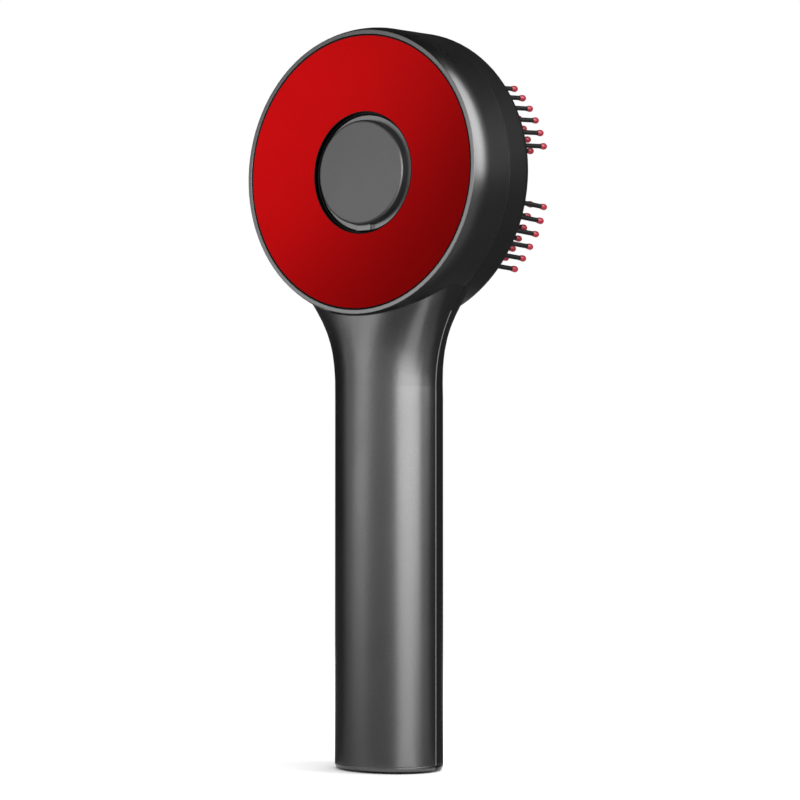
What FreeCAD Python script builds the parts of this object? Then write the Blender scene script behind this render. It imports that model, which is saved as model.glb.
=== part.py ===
import math
import os

import FreeCAD
import Part

Vec = FreeCAD.Vector

# Scalp massage brush with retractable bristles, in millimetres.
# Z runs up the handle from its flat end, Y from the back panel towards the bristles, X to the right.
# Radii and depths of the head are measured from the head's axis, which is parallel to Y.

# Handle
handle_half_width = 16.8
handle_half_depth = 13.9
shell_wall = 2.0
end_cap_thickness = 2.0
end_cap_edge_round = 1.5
end_cap_spigot_height = 6.0
end_cap_spigot_wall = 1.5

# Neck between the handle and the head
flare_radius = 46.0
flare_sink = 0.15
front_taper_length = 5.0
neck_front_drop = 1.0
neck_sections = 10
neck_fullness = 3.4
fullness_delay = 3.0
oval_fullness = 2.0
section_points = 24

# Outside of the head
head_centre_z = 173.4
rim_y = -15.0
rim_radius = 41.1
rim_land = 1.2
shoulder_depth = 6.0
shoulder_rise = 1.3
wall_growth = 0.7
head_front_y = 11.4
front_edge_round = 3.4
front_lip_thickness = 1.1
front_lip_overlap = 1.2

# Dished back panel and its seat
panel_thickness = 1.2
panel_dish = 2.0
panel_inset = 0.1
panel_side_gap = 0.1
panel_bond = 0.1
panel_hole_gap = 0.4
back_wall = 1.7

# Back button, its bezel and the plunger
button_inset = 1.0
button_step = 1.9
button_edge_round = 0.8
button_face_thickness = 2.0
button_step_depth = 2.8
button_flange_height = 1.6
key_tab_width = 5.0
key_tab_height = 1.3
key_tab_inset = 0.25
skirt_radius = 17.1
skirt_wall = 3.5
spigot_wall = 0.95
spigot_height = 1.6
bezel_wall = 1.8
bezel_flange_width = 1.5
bezel_flange_thickness = 0.6
bezel_reach = 1.7
button_travel = 14.0
web_thickness = 1.8
web_depth = 3.4

# Drive spider and front button
spider_thickness = 1.6
spider_arm_width = 9.0
spider_arm_margin = 1.5
front_button_wall = 1.6
front_button_proud = 3.6
front_button_edge_round = 1.2
front_button_boss_radius = 3.2

# Front plate, its posts and its centre tube
front_plate_ledge = 1.3
front_plate_thickness = 1.4
tube_wall = 1.9
tube_gap = 0.5
tube_collar = 0.8
post_inset = 6.4
post_radius = 2.8
boss_radius = 3.2
boss_height = 2.1
grip_ring_section = 0.5
grip_ring_spacing = 3.0
grip_ring_inset = 2.4

# Air pads in the windows of the front plate
petal_count = 6
pad_rim_gap = 0.6
pad_hub_gap = 0.7
pad_gap_half_width = 3.4
pad_lip = 0.9
pad_crown = 2.8
pad_crown_radius = 62.0
pad_corner_round = 2.2
bristle_hole_radius = 1.15

# Bristles of one segment, row by row from the outside.
# The segments at the crown and next to the handle have no outermost row.
bristle_tilt = 7.0
bristle_length = 20.35
row_margin = 0.5
inner_row_margin = 0.6
row_counts = (6, 6, 5, 4)
row_steps = (6.9, 6.9, 7.5, 7.6)
bristle_radius = 0.75
tip_radius = 1.0
tip_overhang = 0.55
plate_thickness = 1.8
plate_gap_half_width = 4.6
plate_margin = 1.8

# Fasteners
head_screw_radius = 1.0
head_screw_head_radius = 2.2
head_screw_head_height = 1.2
head_screw_length = 9.0
plunger_screw_length = 8.0
screw_slot_depth = 0.5
screw_slot_width = 0.6
shoulder_radius = 1.5
shoulder_head_radius = 2.6
shoulder_head_height = 0.9

# Clearances
slide_fit = 0.08
press_gap = 0.03
face_gap = 0.1
screw_gap = 0.2
screw_land = 0.4
run_gap = 0.2
loose_gap = 0.3
overrun = 1.0
overlap = 0.5
touch = 0.001
full_turn = 360.0
quarter_turn = full_turn / 4

# Values that follow from the sizes above
lean = math.tan(math.radians(bristle_tilt))
sector_angle = full_turn / petal_count
half_sector = math.radians(sector_angle / 2)
wall_back_radius = rim_radius + shoulder_rise
wall_front_radius = wall_back_radius + wall_growth
shoulder_y = rim_y + shoulder_depth
front_edge_y = head_front_y - front_edge_round
seam_radius = wall_back_radius - wall_growth * shoulder_y / (front_edge_y - shoulder_y)
flare_reach = wall_back_radius - flare_sink + flare_radius
flare_rise = math.sqrt(flare_reach ** 2 - (handle_half_width + flare_radius) ** 2)
flare_start_z = head_centre_z - flare_rise
flare_end_z = flare_start_z + flare_radius * flare_rise / flare_reach
front_taper_start_z = flare_start_z - front_taper_length
neck_front_depth = head_front_y - neck_front_drop
panel_radius = rim_radius - rim_land - panel_side_gap
panel_hole_radius = skirt_radius + panel_hole_gap
lip_back_y = head_front_y - front_lip_thickness
front_plate_radius = seam_radius - shell_wall - front_plate_ledge
front_opening_radius = front_plate_radius - front_lip_overlap
post_ring_radius = front_plate_radius - post_inset
front_plate_back_y = lip_back_y - front_plate_thickness
plate_front_y = front_plate_back_y - run_gap
plate_back_y = plate_front_y - plate_thickness
spider_front_y = plate_back_y - face_gap
spider_back_y = spider_front_y - spider_thickness
button_face_y = rim_y + button_inset
button_radius = skirt_radius - button_step
button_flange_y = button_face_y + button_step_depth
skirt_back_y = button_flange_y + button_flange_height
skirt_inner_radius = skirt_radius - skirt_wall
bezel_bore_radius = skirt_radius + slide_fit
bezel_outer_radius = bezel_bore_radius + bezel_wall
web_front_y = skirt_back_y + web_depth
web_back_y = web_front_y - web_thickness
tube_outer_radius = skirt_inner_radius - tube_gap
tube_bore_radius = tube_outer_radius - tube_wall
front_button_radius = tube_bore_radius - slide_fit
tube_back_y = web_front_y + 2 * loose_gap
pad_outer_radius = front_opening_radius - pad_rim_gap
pad_inner_radius = skirt_radius + pad_hub_gap
window_outer_radius = pad_outer_radius - pad_lip
window_inner_radius = pad_inner_radius + pad_lip
window_gap_half_width = pad_gap_half_width + pad_lip
outer_row_radius = window_outer_radius - row_margin - bristle_hole_radius - (lip_back_y - plate_back_y) * lean
inner_row_radius = window_inner_radius + inner_row_margin + bristle_hole_radius
row_pitch = (outer_row_radius - inner_row_radius) / (len(row_counts) - 1)
row_radii = [outer_row_radius - row_pitch * i for i in range(len(row_counts))]
shoulder_ring = (row_radii[1] + row_radii[2]) / 2
tip_root_y = plate_back_y + bristle_length
tip_y = tip_root_y + tip_overhang
head_centre = Vec(0, 0, head_centre_z)
head_axis = Vec(0, 1, 0)


def dish(radius):
    share = (radius / panel_radius) ** 2
    return panel_dish * (1 - share) / (1 - (panel_hole_radius / panel_radius) ** 2)


def panel_face_y(radius):
    return rim_y + panel_inset + dish(radius)


def seat_y(radius):
    return panel_face_y(radius) + panel_thickness + panel_bond


def floor_y(radius):
    return seat_y(radius) + back_wall


def line(start, end):
    return Part.makeLine(Vec(start[0], start[1], 0), Vec(end[0], end[1], 0))


def arc(start, middle, end):
    points = [Vec(p[0], p[1], 0) for p in (start, middle, end)]
    return Part.Arc(*points).toShape()


def dish_arc(height, start, end):
    radii = (start, (start + end) / 2, end)
    return arc(*[(r, height(r)) for r in radii])


def turned(edges):
    # A turned face closes on the side towards the handle.
    face = Part.Face(Part.Wire(edges))
    solid = face.revolve(Vec(0, 0, 0), head_axis, full_turn)
    solid.rotate(Vec(0, 0, 0), head_axis, quarter_turn)
    return solid


def polyline(points):
    return [line(a, b) for a, b in zip(points, points[1:] + points[:1])]


def disc(radius, back_y, front_y, inner=0.0):
    points = [(inner, back_y), (radius, back_y), (radius, front_y), (inner, front_y)]
    return turned(polyline(points))


def peg(radius, x, z, back_y, front_y):
    return Part.makeCylinder(radius, front_y - back_y, Vec(x, back_y, z), head_axis)


def on_head(shape):
    moved = shape.copy()
    moved.translate(head_centre)
    return moved


def at_angle(shape, degrees):
    turned_shape = shape.copy()
    turned_shape.rotate(Vec(0, 0, 0), head_axis, -degrees)
    return turned_shape


def petal_angle(index):
    return sector_angle * (index + 0.5)


def lacks_outer_row(index):
    across = abs(math.cos(math.radians(petal_angle(index))))
    return across < math.sin(half_sector)


def gap_angles():
    return [sector_angle * i for i in range(petal_count)]


# Handle and neck: one half section per height, in front of or behind the seam plane.
# A fullness of 2 is an oval, and a larger one fills out the section's corners.

def half_section(half_width, depth, z, side, fullness=oval_fullness):
    points = []
    for i in range(section_points + 1):
        turn = math.pi * i / section_points
        across, out = math.cos(turn), max(math.sin(turn), 0.0)
        x = math.copysign(half_width * abs(across) ** (2 / fullness), across)
        points.append(Vec(x, side * depth * out ** (2 / fullness), z))
    curve = Part.BSplineCurve()
    curve.interpolate(points, InitialTangent=Vec(0, side, 0), FinalTangent=Vec(0, -side, 0))
    return Part.Wire([curve.toShape(), Part.makeLine(points[-1], points[0])])


def smooth(value):
    share = min(max(value, 0.0), 1.0)
    return share * share * (3 - 2 * share)


def flare_half_width(z):
    rise = max(z - flare_start_z, 0.0)
    return handle_half_width + flare_radius - math.sqrt(flare_radius ** 2 - rise ** 2)


def neck_fullness_at(z):
    share = smooth((z - flare_start_z) / (flare_end_z - flare_start_z)) ** fullness_delay
    return oval_fullness + (neck_fullness - oval_fullness) * share


def neck_depth(z, side):
    if side < 0:
        return handle_half_depth
    share = smooth((z - front_taper_start_z) / (flare_end_z - front_taper_start_z))
    return handle_half_depth + (neck_front_depth - handle_half_depth) * share


def handle_half(side, bottom_z, inset):
    start_z = front_taper_start_z if side > 0 else flare_start_z
    foot = half_section(handle_half_width - inset, handle_half_depth - inset, bottom_z, side)
    straight = Part.Face(foot).extrude(Vec(0, 0, start_z - bottom_z))
    sections = []
    for i in range(neck_sections + 1):
        z = start_z + (flare_end_z - start_z) * i / neck_sections
        share = smooth((z - start_z) / (flare_end_z - start_z))
        depth = neck_depth(z, side) - inset * (1 + share)
        width = flare_half_width(z) - inset * (1 + share / 2)
        sections.append(half_section(width, depth, z, side, neck_fullness_at(z)))
    neck = Part.makeLoft(sections, True, False)
    return straight.fuse(neck)


# Head shells

def head_back_outside():
    middle = (rim_radius + 0.75 * shoulder_rise, rim_y + 0.5 * shoulder_depth)
    edges = [
        line((0, rim_y), (rim_radius, rim_y)),
        arc((rim_radius, rim_y), middle, (wall_back_radius, shoulder_y)),
        line((wall_back_radius, shoulder_y), (seam_radius, 0)),
        line((seam_radius, 0), (0, 0)),
        line((0, 0), (0, rim_y)),
    ]
    return turned(edges)


def head_back_cavity():
    outer = wall_back_radius - shell_wall
    edges = [
        dish_arc(floor_y, 0.0, outer),
        line((outer, floor_y(outer)), (seam_radius - shell_wall, 0)),
        line((seam_radius - shell_wall, 0), (0, 0)),
        line((0, 0), (0, floor_y(0.0))),
    ]
    return turned(edges)


def panel_recess():
    outer = panel_radius + panel_side_gap
    above = rim_y - overrun
    edges = [
        dish_arc(seat_y, 0.0, outer),
        line((outer, seat_y(outer)), (outer, above)),
        line((outer, above), (0, above)),
        line((0, above), (0, seat_y(0.0))),
    ]
    return turned(edges)


def bezel_flange_y():
    return seat_y(panel_hole_radius) + face_gap


def screw_head_y():
    return seat_y(post_ring_radius - head_screw_head_radius) + face_gap


def post_end_y():
    return floor_y(post_ring_radius) + boss_height


def back_shell():
    outside = on_head(head_back_outside()).fuse(handle_half(-1, end_cap_thickness, 0.0))
    cavity = on_head(head_back_cavity()).fuse(handle_half(-1, end_cap_thickness, shell_wall))
    shell = outside.cut(cavity).cut(on_head(panel_recess()))
    for angle in gap_angles():
        boss = peg(boss_radius, post_ring_radius, 0, floor_y(post_ring_radius) - back_wall / 2, post_end_y())
        shell = shell.fuse(on_head(at_angle(boss, angle)))
    bezel_seat = bezel_flange_y() + bezel_flange_thickness
    flange_radius = bezel_outer_radius + bezel_flange_width + press_gap
    shell = shell.cut(on_head(disc(bezel_outer_radius + press_gap, rim_y, 0)))
    shell = shell.cut(on_head(disc(flange_radius, rim_y, bezel_seat)))
    for angle in gap_angles():
        sunk = peg(head_screw_head_radius + screw_gap, post_ring_radius, 0,
                   rim_y, screw_head_y() + head_screw_head_height)
        hole = peg(head_screw_radius + screw_gap, post_ring_radius, 0, rim_y, post_end_y())
        shell = shell.cut(on_head(at_angle(sunk.fuse(hole), angle)))
    return shell


def head_front_outside():
    edge_radius = wall_front_radius - front_edge_round
    slant = front_edge_round * math.sqrt(0.5)
    edges = [
        line((0, 0), (seam_radius, 0)),
        line((seam_radius, 0), (wall_front_radius, front_edge_y)),
        arc((wall_front_radius, front_edge_y), (edge_radius + slant, front_edge_y + slant),
            (edge_radius, head_front_y)),
        line((edge_radius, head_front_y), (0, head_front_y)),
        line((0, head_front_y), (0, 0)),
    ]
    return turned(edges)


def head_front_cavity():
    seat_radius = front_plate_radius + face_gap
    points = [
        (0, 0),
        (seam_radius - shell_wall, 0),
        (seam_radius - shell_wall, front_plate_back_y - (seam_radius - shell_wall - seat_radius)),
        (seat_radius, front_plate_back_y),
        (seat_radius, lip_back_y),
        (front_opening_radius, lip_back_y),
        (front_opening_radius, handle_half_depth + head_front_y),
        (0, handle_half_depth + head_front_y),
    ]
    return turned(polyline(points))


def front_shell():
    outside = on_head(head_front_outside()).fuse(handle_half(1, end_cap_thickness, 0.0))
    cavity = on_head(head_front_cavity()).fuse(handle_half(1, end_cap_thickness, shell_wall))
    return outside.cut(cavity)


def oval_prism(inset, bottom_z, height):
    centre = Vec(0, 0, bottom_z)
    oval = Part.Ellipse(centre, handle_half_width - inset, handle_half_depth - inset)
    return Part.Face(Part.Wire([oval.toShape()])).extrude(Vec(0, 0, height))


def end_cap():
    plate = oval_prism(0.0, 0.0, end_cap_thickness)
    lower = [edge for edge in plate.Edges if edge.BoundBox.ZMax < touch]
    plate = plate.makeFillet(end_cap_edge_round, lower)
    outer = shell_wall + face_gap
    spigot = oval_prism(outer, end_cap_thickness - overlap, end_cap_spigot_height + overlap)
    hollow = oval_prism(outer + end_cap_spigot_wall, end_cap_thickness, end_cap_spigot_height)
    return plate.fuse(spigot.cut(hollow))


# Back panel and bezel

def back_panel():
    inner, outer = panel_hole_radius, panel_radius

    def rear_y(radius):
        return panel_face_y(radius) + panel_thickness

    edges = [
        dish_arc(panel_face_y, inner, outer),
        line((outer, panel_face_y(outer)), (outer, rear_y(outer))),
        dish_arc(rear_y, outer, inner),
        line((inner, rear_y(inner)), (inner, panel_face_y(inner))),
    ]
    return on_head(turned(edges))


def button_bezel():
    top = bezel_flange_y()
    foot = top + bezel_reach + bezel_flange_thickness
    sleeve = disc(bezel_outer_radius, top, foot, bezel_bore_radius)
    flange = disc(bezel_outer_radius + bezel_flange_width, top, top + bezel_flange_thickness,
                  bezel_bore_radius)
    return on_head(sleeve.fuse(flange))


# Plunger group

def button():
    cap = disc(button_radius, button_face_y, button_flange_y + overlap)
    front_edge = [edge for edge in cap.Edges
                  if edge.BoundBox.YMax < button_face_y + touch and edge.BoundBox.XLength > button_radius]
    cap = cap.makeFillet(button_edge_round, front_edge)
    body = cap.fuse(disc(skirt_radius, button_flange_y, skirt_back_y))
    tab_end = skirt_radius - key_tab_inset
    tab = Part.makeBox(key_tab_width, key_tab_height + overlap, button_step + button_edge_round)
    tab.translate(Vec(-key_tab_width / 2, button_flange_y - key_tab_height, -tab_end))
    body = body.fuse(tab)
    hollow_radius = skirt_inner_radius + spigot_wall + press_gap
    hollow = disc(hollow_radius, button_face_y + button_face_thickness, skirt_back_y)
    return on_head(body.cut(hollow))


def slot(ring_radius, reach, half_width, back_y, front_y):
    inner = ring_radius - reach
    bar = Part.makeBox(reach, front_y - back_y, 2 * half_width)
    bar.translate(Vec(inner, back_y, -half_width))
    ends = [peg(half_width, x, 0, back_y, front_y) for x in (inner, ring_radius)]
    return bar.fuse(ends)


def plunger():
    body = disc(skirt_radius, skirt_back_y, spider_front_y, skirt_inner_radius)
    spigot_back = skirt_back_y - spigot_height
    body = body.fuse(disc(skirt_inner_radius + spigot_wall, spigot_back, skirt_back_y + overlap,
                          skirt_inner_radius))
    web = disc(skirt_inner_radius + overlap, web_back_y, web_front_y, head_screw_radius + screw_gap)
    body = body.fuse(web)
    arm_end = shoulder_ring + shoulder_head_radius + spider_arm_margin
    arm_start = skirt_inner_radius + skirt_wall / 2
    for i in range(petal_count):
        arm = Part.makeBox(arm_end - arm_start, spider_thickness, spider_arm_width)
        arm.translate(Vec(arm_start, spider_back_y, -spider_arm_width / 2))
        body = body.fuse(at_angle(arm, petal_angle(i)))
    for i in range(petal_count):
        path = slot(shoulder_ring + loose_gap, button_travel * lean + 2 * loose_gap,
                    shoulder_radius + face_gap, spider_back_y, spider_front_y)
        body = body.cut(at_angle(path, petal_angle(i)))
    return on_head(body)


def front_button():
    face_y = head_front_y + front_button_proud
    outer = disc(front_button_radius, web_front_y, face_y)
    rim = [edge for edge in outer.Edges
           if edge.BoundBox.YMin > face_y - touch and edge.BoundBox.XLength > front_button_radius]
    outer = outer.makeFillet(front_button_edge_round, rim)
    hollow = disc(front_button_radius - front_button_wall, web_front_y, face_y - front_button_wall)
    boss = disc(front_button_boss_radius, web_front_y, face_y - front_button_wall / 2)
    pilot = disc(head_screw_radius + press_gap, web_front_y, web_front_y + plunger_screw_length + overrun)
    return on_head(outer.cut(hollow).fuse(boss).cut(pilot))


def driver_slot(head_radius, head_back_y):
    length = 1.2 * head_radius
    drive = Part.makeBox(length, screw_slot_depth, screw_slot_width)
    drive.translate(Vec(-length / 2, head_back_y, -screw_slot_width / 2))
    return drive


def pan_screw(head_back_y, length):
    shank_y = head_back_y + head_screw_head_height
    head = disc(head_screw_head_radius, head_back_y, shank_y)
    shank = disc(head_screw_radius, head_back_y, shank_y + length)
    return head.fuse(shank).cut(driver_slot(head_screw_head_radius, head_back_y))


def plunger_screw():
    length = web_thickness + plunger_screw_length
    return on_head(pan_screw(web_back_y - head_screw_head_height, length))


# Front plate, grip rings and head screws

def petal_point(radius, half_gap, side):
    along = math.sqrt(radius ** 2 - half_gap ** 2)
    c, s = math.cos(half_sector), math.sin(half_sector)
    return Vec(along * c + half_gap * s, 0, side * (along * s - half_gap * c))


def petal(inner, outer, half_gap, back_y, front_y):
    inside = [petal_point(inner, half_gap, -1), Vec(inner, 0, 0), petal_point(inner, half_gap, 1)]
    outside = [petal_point(outer, half_gap, 1), Vec(outer, 0, 0), petal_point(outer, half_gap, -1)]
    edges = [
        Part.Arc(*inside).toShape(),
        Part.makeLine(inside[2], outside[0]),
        Part.Arc(*outside).toShape(),
        Part.makeLine(outside[2], inside[0]),
    ]
    face = Part.Face(Part.Wire(edges))
    face.translate(Vec(0, back_y, 0))
    return face.extrude(Vec(0, front_y - back_y, 0))


def grip_ring_heights():
    first = tube_back_y + grip_ring_inset
    return (first, first + grip_ring_spacing)


def front_plate():
    body = disc(front_plate_radius, front_plate_back_y, lip_back_y)
    body = body.fuse(disc(tube_outer_radius, tube_back_y, lip_back_y + tube_collar))
    for angle in gap_angles():
        post = peg(post_radius, post_ring_radius, 0, post_end_y(), front_plate_back_y + overlap)
        body = body.fuse(at_angle(post, angle))
    for i in range(petal_count):
        window = petal(window_inner_radius, window_outer_radius, window_gap_half_width,
                       front_plate_back_y, lip_back_y)
        body = body.cut(at_angle(window, petal_angle(i)))
    body = body.cut(disc(tube_bore_radius, tube_back_y, lip_back_y + tube_collar))
    groove_radius = tube_bore_radius + 2 * grip_ring_section
    for y in grip_ring_heights():
        half = grip_ring_section + press_gap
        body = body.cut(disc(groove_radius, y - half, y + half))
    for angle in gap_angles():
        depth_y = screw_head_y() + head_screw_head_height + head_screw_length + overrun
        pilot = peg(head_screw_radius + press_gap, post_ring_radius, 0, post_end_y(), depth_y)
        body = body.cut(at_angle(pilot, angle))
    return on_head(body)


def grip_rings():
    ring_radius = front_button_radius + slide_fit / 2 + grip_ring_section
    rings = [Part.makeTorus(ring_radius, grip_ring_section, Vec(0, y, 0), head_axis)
             for y in grip_ring_heights()]
    return on_head(Part.makeCompound(rings))


def head_screws():
    screw = pan_screw(screw_head_y(), head_screw_length)
    screw.translate(Vec(post_ring_radius, 0, 0))
    return on_head(Part.makeCompound([at_angle(screw, angle) for angle in gap_angles()]))


# Bristle segments: each is drawn about the X direction and then turned to its place.

def clears_screw(point):
    least = head_screw_radius + bristle_radius + screw_land
    return math.hypot(point[0] - shoulder_ring, point[1]) > least


def bristle_points(first_row):
    points = []
    rows = list(zip(row_radii, row_counts, row_steps))
    for radius, count, step in rows[first_row:]:
        for i in range(count):
            angle = math.radians(step * (i - (count - 1) / 2))
            points.append((radius * math.cos(angle), radius * math.sin(angle)))
    return [point for point in points if clears_screw(point)]


def leaning_pin(x, z, radius, back_y, front_y):
    start_x = x + (back_y - plate_back_y) * lean
    edge = Part.makeCircle(radius, Vec(start_x, back_y, z), head_axis)
    face = Part.Face(Part.Wire([edge]))
    rise = front_y - back_y
    return face.extrude(Vec(rise * lean, rise, 0))


def leaning_pins(first_row, radius, back_y, front_y):
    return [leaning_pin(x, z, radius, back_y, front_y) for x, z in bristle_points(first_row)]


def segment_place(shape, index):
    return on_head(at_angle(shape, petal_angle(index)))


def air_pad_shape(first_row):
    top = lip_back_y + pad_crown
    lip = petal(pad_inner_radius, pad_outer_radius, pad_gap_half_width, lip_back_y, top)
    corners = [edge for edge in lip.Edges if edge.BoundBox.YLength > pad_crown / 2]
    lip = lip.makeFillet(pad_corner_round, corners)
    middle = (pad_inner_radius + pad_outer_radius) / 2
    ball = Part.makeSphere(pad_crown_radius, Vec(middle, top - pad_crown_radius, 0))
    lip = lip.common(ball)
    plug = petal(window_inner_radius + face_gap, window_outer_radius - face_gap,
                 window_gap_half_width + face_gap, front_plate_back_y, lip_back_y + overlap)
    holes = leaning_pins(first_row, bristle_hole_radius, front_plate_back_y - overrun, top + overrun)
    return lip.fuse(plug).cut(Part.makeCompound(holes))


def bristle_plate_shape(first_row):
    inner = row_radii[-1] - plate_margin
    outer = row_radii[first_row] + plate_margin
    plate = petal(inner, outer, plate_gap_half_width, plate_back_y, plate_front_y)
    holes = leaning_pins(first_row, bristle_radius + press_gap, plate_back_y - overrun,
                         plate_front_y + overrun)
    holes.append(peg(head_screw_radius + press_gap, shoulder_ring, 0, plate_back_y, plate_front_y))
    return plate.cut(Part.makeCompound(holes))


def bristles_shape(first_row):
    return Part.makeCompound(leaning_pins(first_row, bristle_radius, plate_back_y, tip_root_y))


def bristle_tips_shape(first_row):
    low = -math.degrees(math.asin(tip_overhang / tip_radius))
    tips = []
    for x, z in bristle_points(first_row):
        centre = Vec(x + (tip_y - plate_back_y) * lean, tip_y, z)
        tips.append(Part.makeSphere(tip_radius, centre, head_axis, low, quarter_turn, full_turn))
    return Part.makeCompound(tips)


def segment_screw_shape():
    head_y = spider_back_y - face_gap - shoulder_head_height
    head = disc(shoulder_head_radius, head_y, head_y + shoulder_head_height)
    shoulder = disc(shoulder_radius, head_y, plate_back_y)
    thread = disc(head_screw_radius, head_y, plate_front_y - face_gap)
    screw = head.fuse([shoulder, thread]).cut(driver_slot(shoulder_head_radius, head_y))
    screw.translate(Vec(shoulder_ring, 0, 0))
    return screw


def all_nodes():
    nodes = {
        "back_shell": back_shell(),
        "front_shell": front_shell(),
        "end_cap": end_cap(),
        "back_panel": back_panel(),
        "button_bezel": button_bezel(),
        "front_plate": front_plate(),
        "grip_rings": grip_rings(),
        "head_screws": head_screws(),
        "button": button(),
        "plunger": plunger(),
        "front_button": front_button(),
        "plunger_screw": plunger_screw(),
    }
    for name, shape_of in (("air_pad", air_pad_shape), ("bristle_plate", bristle_plate_shape),
                           ("bristles", bristles_shape), ("bristle_tips", bristle_tips_shape)):
        full, short = shape_of(0), shape_of(1)
        for i in range(petal_count):
            nodes[f"{name}_{i + 1}"] = segment_place(short if lacks_outer_row(i) else full, i)
    screw = segment_screw_shape()
    for i in range(petal_count):
        nodes[f"segment_screw_{i + 1}"] = segment_place(screw, i)
    return nodes


os.makedirs("parts", exist_ok=True)
for node_name, node_shape in all_nodes().items():
    node_shape.exportStep(f"parts/{node_name}.step")
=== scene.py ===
import math

import bmesh
import bpy
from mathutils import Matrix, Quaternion, Vector
from mathutils.geometry import delaunay_2d_cdt


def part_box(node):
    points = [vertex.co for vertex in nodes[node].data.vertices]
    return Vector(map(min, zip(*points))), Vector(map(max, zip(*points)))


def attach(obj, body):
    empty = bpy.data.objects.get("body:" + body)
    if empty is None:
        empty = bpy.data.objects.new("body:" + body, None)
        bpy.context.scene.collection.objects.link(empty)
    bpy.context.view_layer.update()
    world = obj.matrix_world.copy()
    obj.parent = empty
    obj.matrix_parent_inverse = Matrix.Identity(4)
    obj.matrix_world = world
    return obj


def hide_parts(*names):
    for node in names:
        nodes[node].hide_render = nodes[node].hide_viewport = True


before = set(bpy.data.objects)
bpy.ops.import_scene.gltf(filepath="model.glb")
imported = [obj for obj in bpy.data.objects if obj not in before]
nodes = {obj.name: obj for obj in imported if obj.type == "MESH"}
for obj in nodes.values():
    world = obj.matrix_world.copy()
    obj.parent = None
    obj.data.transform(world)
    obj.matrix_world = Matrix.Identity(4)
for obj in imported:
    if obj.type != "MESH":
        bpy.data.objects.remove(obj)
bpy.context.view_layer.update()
scene = bpy.context.scene
headCentre = sum(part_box("back_panel"), Vector()) / 2
print("frame loaded:", len(nodes), "nodes")


# Camera at the reference viewing angle

cameraSettings = {
    "focalPixels": 2600.0,      # focal length in pixels of a square picture
    "imagePixels": 800,
    "sensor": 36.0,
    "azimuth": 36.57,           # degrees, from the red panel's side towards the right
    "elevation": -1.34,
    "distance": 0.760,
    "aim": (0.0, -0.0026, 0.10766),
    "sideShift": 0.00481,
    "clip": (0.01, 50.0),
}


def directionFrom(azimuth, elevation):
    turn, rise = math.radians(azimuth), math.radians(elevation)
    return Vector((math.sin(turn) * math.cos(rise), -math.cos(turn) * math.cos(rise), math.sin(rise)))


def makeCamera(settings):
    data = bpy.data.cameras.new("viewCamera")
    data.sensor_width = settings["sensor"]
    data.lens = settings["sensor"] * settings["focalPixels"] / settings["imagePixels"]
    data.clip_start, data.clip_end = settings["clip"]
    camera = bpy.data.objects.new("viewCamera", data)
    scene.collection.objects.link(camera)
    back = directionFrom(settings["azimuth"], settings["elevation"])
    right = directionFrom(settings["azimuth"] + 90, 0.0)
    camera.location = Vector(settings["aim"]) + back * settings["distance"] + right * settings["sideShift"]
    camera.rotation_euler = (-back).to_track_quat("-Z", "Y").to_euler()
    scene.camera = camera


makeCamera(cameraSettings)
print("camera placed")


# Node helpers

def addNode(tree, kind, **values):
    node = tree.nodes.new(kind)
    for key, value in values.items():
        setattr(node, key, value)
    return node


def setInputs(node, **values):
    for key, value in values.items():
        node.inputs[key.replace("_", " ")].default_value = value


def newGroup(name, inputs, outputs):
    tree = bpy.data.node_groups.new(name, "ShaderNodeTree")
    for label, value in inputs.items():
        socket = tree.interface.new_socket(name=label, in_out="INPUT", socket_type="NodeSocketFloat")
        socket.default_value = value
    for label in outputs:
        tree.interface.new_socket(name=label, in_out="OUTPUT", socket_type="NodeSocketFloat")
    return tree, addNode(tree, "NodeGroupInput"), addNode(tree, "NodeGroupOutput")


# Shared surface effects

def makeGrainGroup():
    # fine moulded or sprayed texture: a height for bump and a fleck mask for colour
    scales = {"Scale": 3000.0, "Fleck Scale": 6000.0}
    tree, inlet, outlet = newGroup("surfaceGrain", scales, ["Height", "Fleck"])
    coords = addNode(tree, "ShaderNodeTexCoord")
    noise = addNode(tree, "ShaderNodeTexNoise")
    setInputs(noise, Detail=2.0, Roughness=0.55)
    flecks = addNode(tree, "ShaderNodeTexVoronoi", feature="F1")
    tree.links.new(coords.outputs["Object"], noise.inputs["Vector"])
    tree.links.new(coords.outputs["Object"], flecks.inputs["Vector"])
    tree.links.new(inlet.outputs["Scale"], noise.inputs["Scale"])
    tree.links.new(inlet.outputs["Fleck Scale"], flecks.inputs["Scale"])
    single = addNode(tree, "ShaderNodeSeparateColor")
    tree.links.new(flecks.outputs["Color"], single.inputs["Color"])
    tree.links.new(noise.outputs["Fac"], outlet.inputs["Height"])
    tree.links.new(single.outputs["Red"], outlet.inputs["Fleck"])
    return tree


def makeHandlingGroup():
    # broad smudges from handling with finer wiping marks in them, as a roughness that varies
    tree, inlet, outlet = newGroup("handlingMarks", {"Scale": 40.0, "Low": 0.3, "High": 0.4}, ["Roughness"])
    coords = addNode(tree, "ShaderNodeTexCoord")
    broad = addNode(tree, "ShaderNodeTexNoise")
    setInputs(broad, Detail=4.0, Roughness=0.6, Distortion=0.6)
    tree.links.new(coords.outputs["Object"], broad.inputs["Vector"])
    tree.links.new(inlet.outputs["Scale"], broad.inputs["Scale"])
    spread = addNode(tree, "ShaderNodeMapRange")
    setInputs(spread, From_Min=0.3, From_Max=0.7)
    tree.links.new(broad.outputs["Fac"], spread.inputs["Value"])
    tree.links.new(inlet.outputs["Low"], spread.inputs["To Min"])
    tree.links.new(inlet.outputs["High"], spread.inputs["To Max"])
    tree.links.new(spread.outputs["Result"], outlet.inputs["Roughness"])
    return tree


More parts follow.
